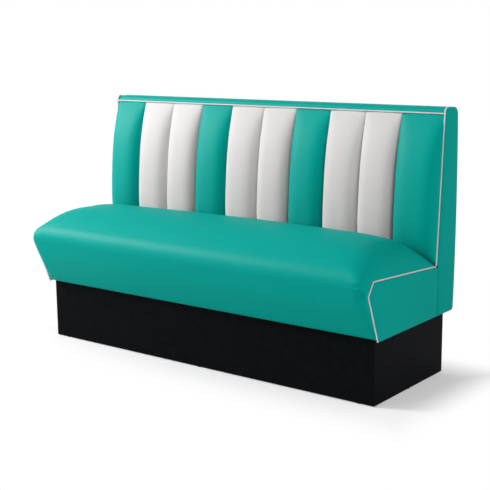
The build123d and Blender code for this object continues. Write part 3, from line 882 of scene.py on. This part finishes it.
def channel_loop(level, share, low, high, ends):
    """A channel's outline at a height: flanks, a round front and a flat back."""
    base = back_front_at(level) + channel_hem
    pinch = (1 - share ** crest_top_power, 1 - (1 - share) ** crest_foot_power)
    crest = channel_hem + channel_crest * pinch[0] * pinch[1]
    crest *= 1 - crest_flattening * max(0, 1 - share / crest_full_share)
    middle, half = (low + high) / 2, (high - low) / 2
    front = []
    for k in range(front_count + 1):
        angle = pi * (k / front_count - 0.5)
        at_end = ends[1 if angle > 0 else 0]
        power = end_round_power if at_end else round_power
        valley = end_valley_share if at_end else valley_share
        across = sin(angle)
        round_part = max(0, 1 - abs(across) ** power) ** (1 / 2)
        front.append((middle + half * across, base - crest * (valley + (1 - valley) * round_part), level))
    flank = [base - crest * end_valley_share * k / flank_count for k in range(flank_count)]
    left = [(low, y, level) for y in flank]
    right = [(high, y, level) for y in reversed(flank)]
    back = [(high + (low - high) * k / back_count, base, level) for k in range(1, back_count)]
    return left + front + right + back


def make_channel(number):
    """Sections of one channel from the seat up to the top welt, skinned and stuffed."""
    low, high = borders[number - 1] + channel_gap, borders[number] - channel_gap
    ends = (number == 1, number == channel_count)
    loops = []
    for t in np.linspace(0, 1, channel_rows):
        share = 0.5 - 0.5 * cos(pi * t)
        level = channel_low + (channel_high - channel_low) * share
        loops.append(channel_loop(level, share, low, high, ends))
    piece = skin(f"stuffed_channel_{number:02d}", loops)
    count = len(loops[0])
    sewn = [k for k in range(count) if k <= flank_count or k >= flank_count + front_count]
    held = {row * count + k for row in range(channel_rows) for k in sewn}
    held |= set(range(count)) | set(range(count * (channel_rows - 1), count * channel_rows))
    plump(piece, held, pressure=3, cap=0.002)
    material = turquoise_vinyl if number in turquoise_numbers else white_vinyl
    slot = "vinyl_turquoise" if number in turquoise_numbers else "vinyl_white"
    finish_soft(piece, material, slot, f"channel_{number:02d}", fill=0.9)


for number in range(1, channel_count + 1):
    make_channel(number)


# The top band
# A padded strip of turquoise vinyl rolled over the top rail, sewn to the top welt in front and tacked
# under the rail behind.
band_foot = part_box("back_top_band")[0].z + welt_rise
band_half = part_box("back_top_band")[1].x * proud
rail_low, rail_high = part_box("back_top_rail")
band_front_radius, band_rear_radius = 0.018, 0.026
band_rows, band_row_close = 41, 2
band_tuck, band_tuck_power = 0.005, 50  # the rear edge is drawn in at both ends


def rounded(points, radii, count=8):
    """A (y, z) line of corners with round turns."""
    line = []
    for k, (corner, radius) in enumerate(zip(points, radii)):
        if not radius:
            line.append(corner)
            continue
        before = (points[k - 1] - corner).normalized()
        after = (points[(k + 1) % len(points)] - corner).normalized()
        reach = radius / tan(before.angle(after) / 2)
        cut = hypot(reach, radius) - radius
        first, last = corner + before * reach, corner + after * reach
        line += arc(first, corner + (before + after).normalized() * cut, last, count) + [last]
    return line


def make_top_band():
    """Sections of the band from end to end, skinned."""
    outer = rounded(
        [flat(back_front_at(band_foot), band_foot), flat(back_front_at(back_high.z), back_high.z),
         flat(back_high.y, back_high.z), flat(back_high.y, rail_low.z)],
        (0, band_front_radius, band_rear_radius, 0),
    )
    inner = [
        flat(rail_high.y, rail_low.z), flat(rail_high.y, rail_high.z),
        flat(rail_low.y, rail_high.z), flat(rail_low.y, band_foot),
    ]
    loops = []
    for t in end_spaced(band_rows, band_row_close):
        rear = back_high.y - band_tuck * abs(t) ** band_tuck_power
        loops.append([(band_half * t, min(p.x, rear), p.y) for p in outer + inner])
    piece = skin("top_band_roll", loops)
    finish_soft(piece, turquoise_vinyl, "vinyl_turquoise", "back_top_band", fill=0.8)


make_top_band()


# The back's side facings
# Foam-faced boards wrapped in turquoise vinyl, like the seat's, with rounded top corners. A groove parts
# them from the seat's, and their rear edges are drawn in and bow out a little between top and foot.
facing_gap = 0.0034
rear_draw, rear_bulge, bulge_power, bulge_steps = 0.0085, 0.0075, 0.75, 16
foot_radius = 0.012


def back_outline():
    """The outline of the back's side panel, as (y, z)."""
    rear = back_high.y - rear_draw
    corners = [
        flat(back_low.y + facing_gap, back_low.z), flat(seat_rear + facing_gap, seat_rear_height),
        flat(back_front_at(back_high.z), back_high.z), flat(rear, back_high.z), flat(rear, back_low.z),
    ]
    line = rounded(corners, (0, 0, band_front_radius, band_rear_radius, foot_radius))
    last = max(k for k, p in enumerate(line) if p.x > rear - touching and p.y > seat_rear_height)
    top, foot = line[last], line[last + 1]
    shares = [k / bulge_steps for k in range(1, bulge_steps)]
    bow = [top.lerp(foot, share) + flat(rear_bulge * sin(pi * share) ** bulge_power, 0) for share in shares]
    return line[:last + 1] + bow + line[last + 1:]


facing("back_left_side_panel", back_outline(), -1, "back_left_facing")
facing("back_right_side_panel", back_outline(), 1, "back_right_facing")


# The back's welts
# Cords like the seat's: one along the foot of the top band, and one up the front edge and round the top
# corner of each side, where its end is tucked into the seam.
side_welt_start = seat_rear_height + 2 * welt_offset
straight_count, tuck_count, tuck_depth = 24, 5, 0.0065
top_low, top_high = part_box("back_top_piping")
top_welt_z = (top_low.z + top_high.z) / 2 + welt_rise
top_welt_y = back_front_at(top_welt_z) - welt_offset
top_half_count = 15


def back_side_path():
    """The path of the back's side welt, with its inward ways."""
    start = flat(back_front_at(side_welt_start), side_welt_start)
    corner = flat(back_front_at(back_high.z), back_high.z)
    stop = flat(corner.x + band_front_radius + welt_radius, back_high.z)
    line = rounded([start, corner, stop], (0, band_front_radius, 0))
    straight = [line[0].lerp(line[1], k / straight_count) for k in range(straight_count)]
    path, ways = offset_path(straight + line[1:], welt_offset)
    for k in range(1, tuck_count + 1):
        path[k - tuck_count - 1] += ways[k - tuck_count - 1] * tuck_depth * (k / tuck_count) ** 2
    return path, ways


side_welt("back_left_welt", *back_side_path(), -1, "back_left_piping")
side_welt("back_right_welt", *back_side_path(), 1, "back_right_piping")
top_places = [k / top_half_count - 1 for k in range(2 * top_half_count + 1)]
top_spots = [(top_high.x * proud * t, top_welt_y, top_welt_z) for t in top_places]
welt("back_top_welt", top_spots, [Vector((0, 1, 0))] * len(top_spots), "back_top_piping")


# The rear cover
# A plain panel of the same vinyl, stretched over the rear board and tacked under the top band.
dress(turquoise_vinyl, "vinyl_turquoise", "back_rear_cover")


# The fasteners
# Zinc-plated bolts, washers and nuts join the seat to the back, and screwed plates tie both to the plinth.
zinc_dark, zinc_light = (0.42, 0.43, 0.44), (0.58, 0.59, 0.60)


def zinc_steel():
    material, tree, shader, place = surface("zinc_steel")
    shader.inputs["Metallic"].default_value = 1
    spangle = noise(tree, place, scale=350)
    tint(tree, shader, spangle, (0.35, zinc_dark), (0.65, zinc_light))
    tree.links.new(spread(tree, spangle, 0.28, 0.42), shader.inputs["Roughness"])
    return material


dress(
    zinc_steel(), "zinc_steel",
    "joint_bolts", "joint_washers", "joint_nuts", "fixing_plates", "plate_screws",
)
